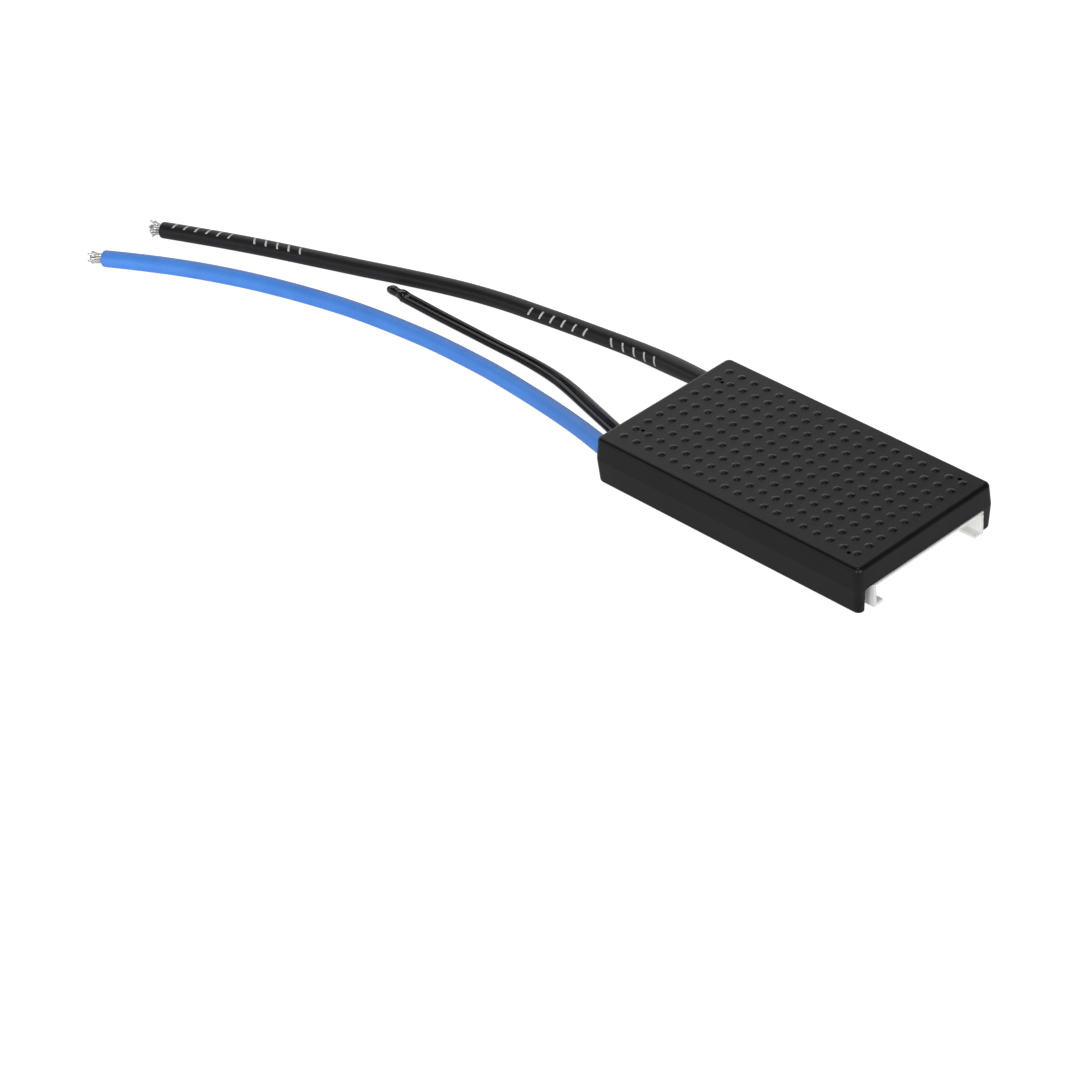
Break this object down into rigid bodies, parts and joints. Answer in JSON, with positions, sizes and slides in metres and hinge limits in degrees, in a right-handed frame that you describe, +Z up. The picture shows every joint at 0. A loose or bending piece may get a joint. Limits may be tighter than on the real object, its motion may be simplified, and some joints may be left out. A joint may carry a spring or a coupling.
{
  "type": "battery management board",
  "caption": "Thin black moulded battery management module with a dimpled top, a white balance header at one end, two power leads and a thermistor lead.",
  "frame": {"origin": "centre of the case's flat underside, which it stands on", "axes": "+X along the case to the header end, the leads leave towards -X, +Z up from the underside to the dimpled top"},
  "size_m": [0.2013, 0.0501, 0.0098],
  "materials": {
    "case_plastic": "semi-matt black moulding compound",
    "board_laminate": "green solder mask on glass laminate",
    "header_nylon": "natural white nylon",
    "tinned_contact": "bright tin plating",
    "solder": "smooth solder",
    "part_moulding": "matt black transfer moulding",
    "chip_ceramic": "glazed chip body",
    "capacitor_ceramic": "tan ceramic",
    "shunt_metal": "dull resistance alloy",
    "blue_silicone": "satin blue silicone",
    "black_silicone": "satin black silicone",
    "black_twin_jacket": "glossy black jacket",
    "bead_epoxy": "glossy black epoxy",
    "tinned_strands": "tinned copper strands"
  },
  "bodies": {
    "root": {"moulded_case": "case_plastic", "circuit_board": "board_laminate", "header_shroud": "header_nylon", "header_contacts": "tinned_contact", "contact_joints": "solder", "discharge_switches": "part_moulding", "charge_switches": "part_moulding", "gate_resistors": "chip_ceramic", "current_shunts": "shunt_metal", "cell_monitors": "part_moulding", "regulator": "part_moulding", "driver_transistors": "part_moulding", "surge_diode": "part_moulding", "balance_transistors": "part_moulding", "balance_resistors": "chip_ceramic", "filter_resistors": "chip_ceramic", "filter_capacitors": "capacitor_ceramic", "power_joints": "solder", "thermistor_joints": "solder", "blue_lead": "blue_silicone", "blue_lead_strands": "tinned_strands", "black_lead": "black_silicone", "black_lead_strands": "tinned_strands", "thermistor_lead": "black_twin_jacket", "thermistor_bead": "bead_epoxy"}
  },
  "joints": []
}
